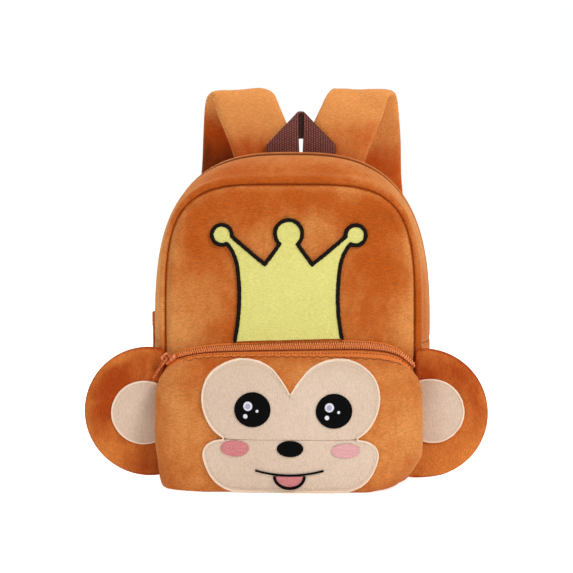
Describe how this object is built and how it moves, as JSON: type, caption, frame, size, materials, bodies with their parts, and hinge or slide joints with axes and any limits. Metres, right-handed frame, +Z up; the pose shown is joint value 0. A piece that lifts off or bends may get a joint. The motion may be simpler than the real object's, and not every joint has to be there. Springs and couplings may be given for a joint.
{
  "type": "plush animal backpack",
  "caption": "Child's plush backpack with a rounded main bag, a zipped front pocket that carries an animal face, round ears, padded shoulder straps and a folded webbing handle.",
  "frame": {"origin": "Under the middle of the whole object's box, on the surface that the bag stands on.", "axes": "+Z up, the face looks towards -Y, +X is to the right of someone who looks at the face."},
  "size_m": [0.3088, 0.162, 0.3037],
  "materials": {
    "plush_orange": "short orange-brown plush nap",
    "plush_ear": "short plush nap, deeper orange",
    "plush_cream": "short cream plush nap",
    "plush_yellow": "short pale yellow plush nap",
    "thread_black": "satin-stitched black thread",
    "thread_pink": "satin-stitched pink thread",
    "webbing_brown": "woven webbing",
    "zip_tape": "woven zip tape",
    "zip_coil": "coil of nylon",
    "zip_metal": "painted to match the zip",
    "adjuster_plastic": "moulded, satin"
  },
  "bodies": {
    "bag": {"front_panel": "plush_orange", "back_panel": "plush_orange", "gusset_front": "plush_orange", "gusset_rear": "plush_orange", "gusset_base": "plush_orange", "main_zip": "zip_tape", "main_zip_slider": "zip_metal", "pocket_panel": "plush_orange", "pocket_zip_tape": "zip_tape", "pocket_zip_coil": "zip_coil", "pocket_zip_slider": "zip_metal", "ear_left": "plush_ear", "ear_right": "plush_ear", "ear_inner_left": "plush_cream", "ear_inner_right": "plush_cream", "crown_patch": "plush_yellow", "crown_border": "thread_black", "face_mask": "plush_cream", "face_muzzle": "plush_cream", "eye_left": "thread_black", "eye_right": "thread_black", "cheek_left": "thread_pink", "cheek_right": "thread_pink", "nose": "thread_black", "mouth_line": "thread_black", "tongue": "thread_pink", "top_handle": "webbing_brown", "strap_left": "plush_orange", "strap_right": "plush_orange", "strap_adjuster_left": "adjuster_plastic", "strap_adjuster_right": "adjuster_plastic", "strap_webbing_left": "webbing_brown", "strap_webbing_right": "webbing_brown"},
    "pull": {"pocket_zip_pull": "zip_metal"}
  },
  "joints": [
    {"name": "pull_swing", "type": "hinge", "parent": "bag", "child": "pull", "pos_m": [-0.09006, -0.04837, 0.09844], "axis": [-0.1798, 0.9478, 0.2635], "range_deg": [0, 150]}
  ]
}
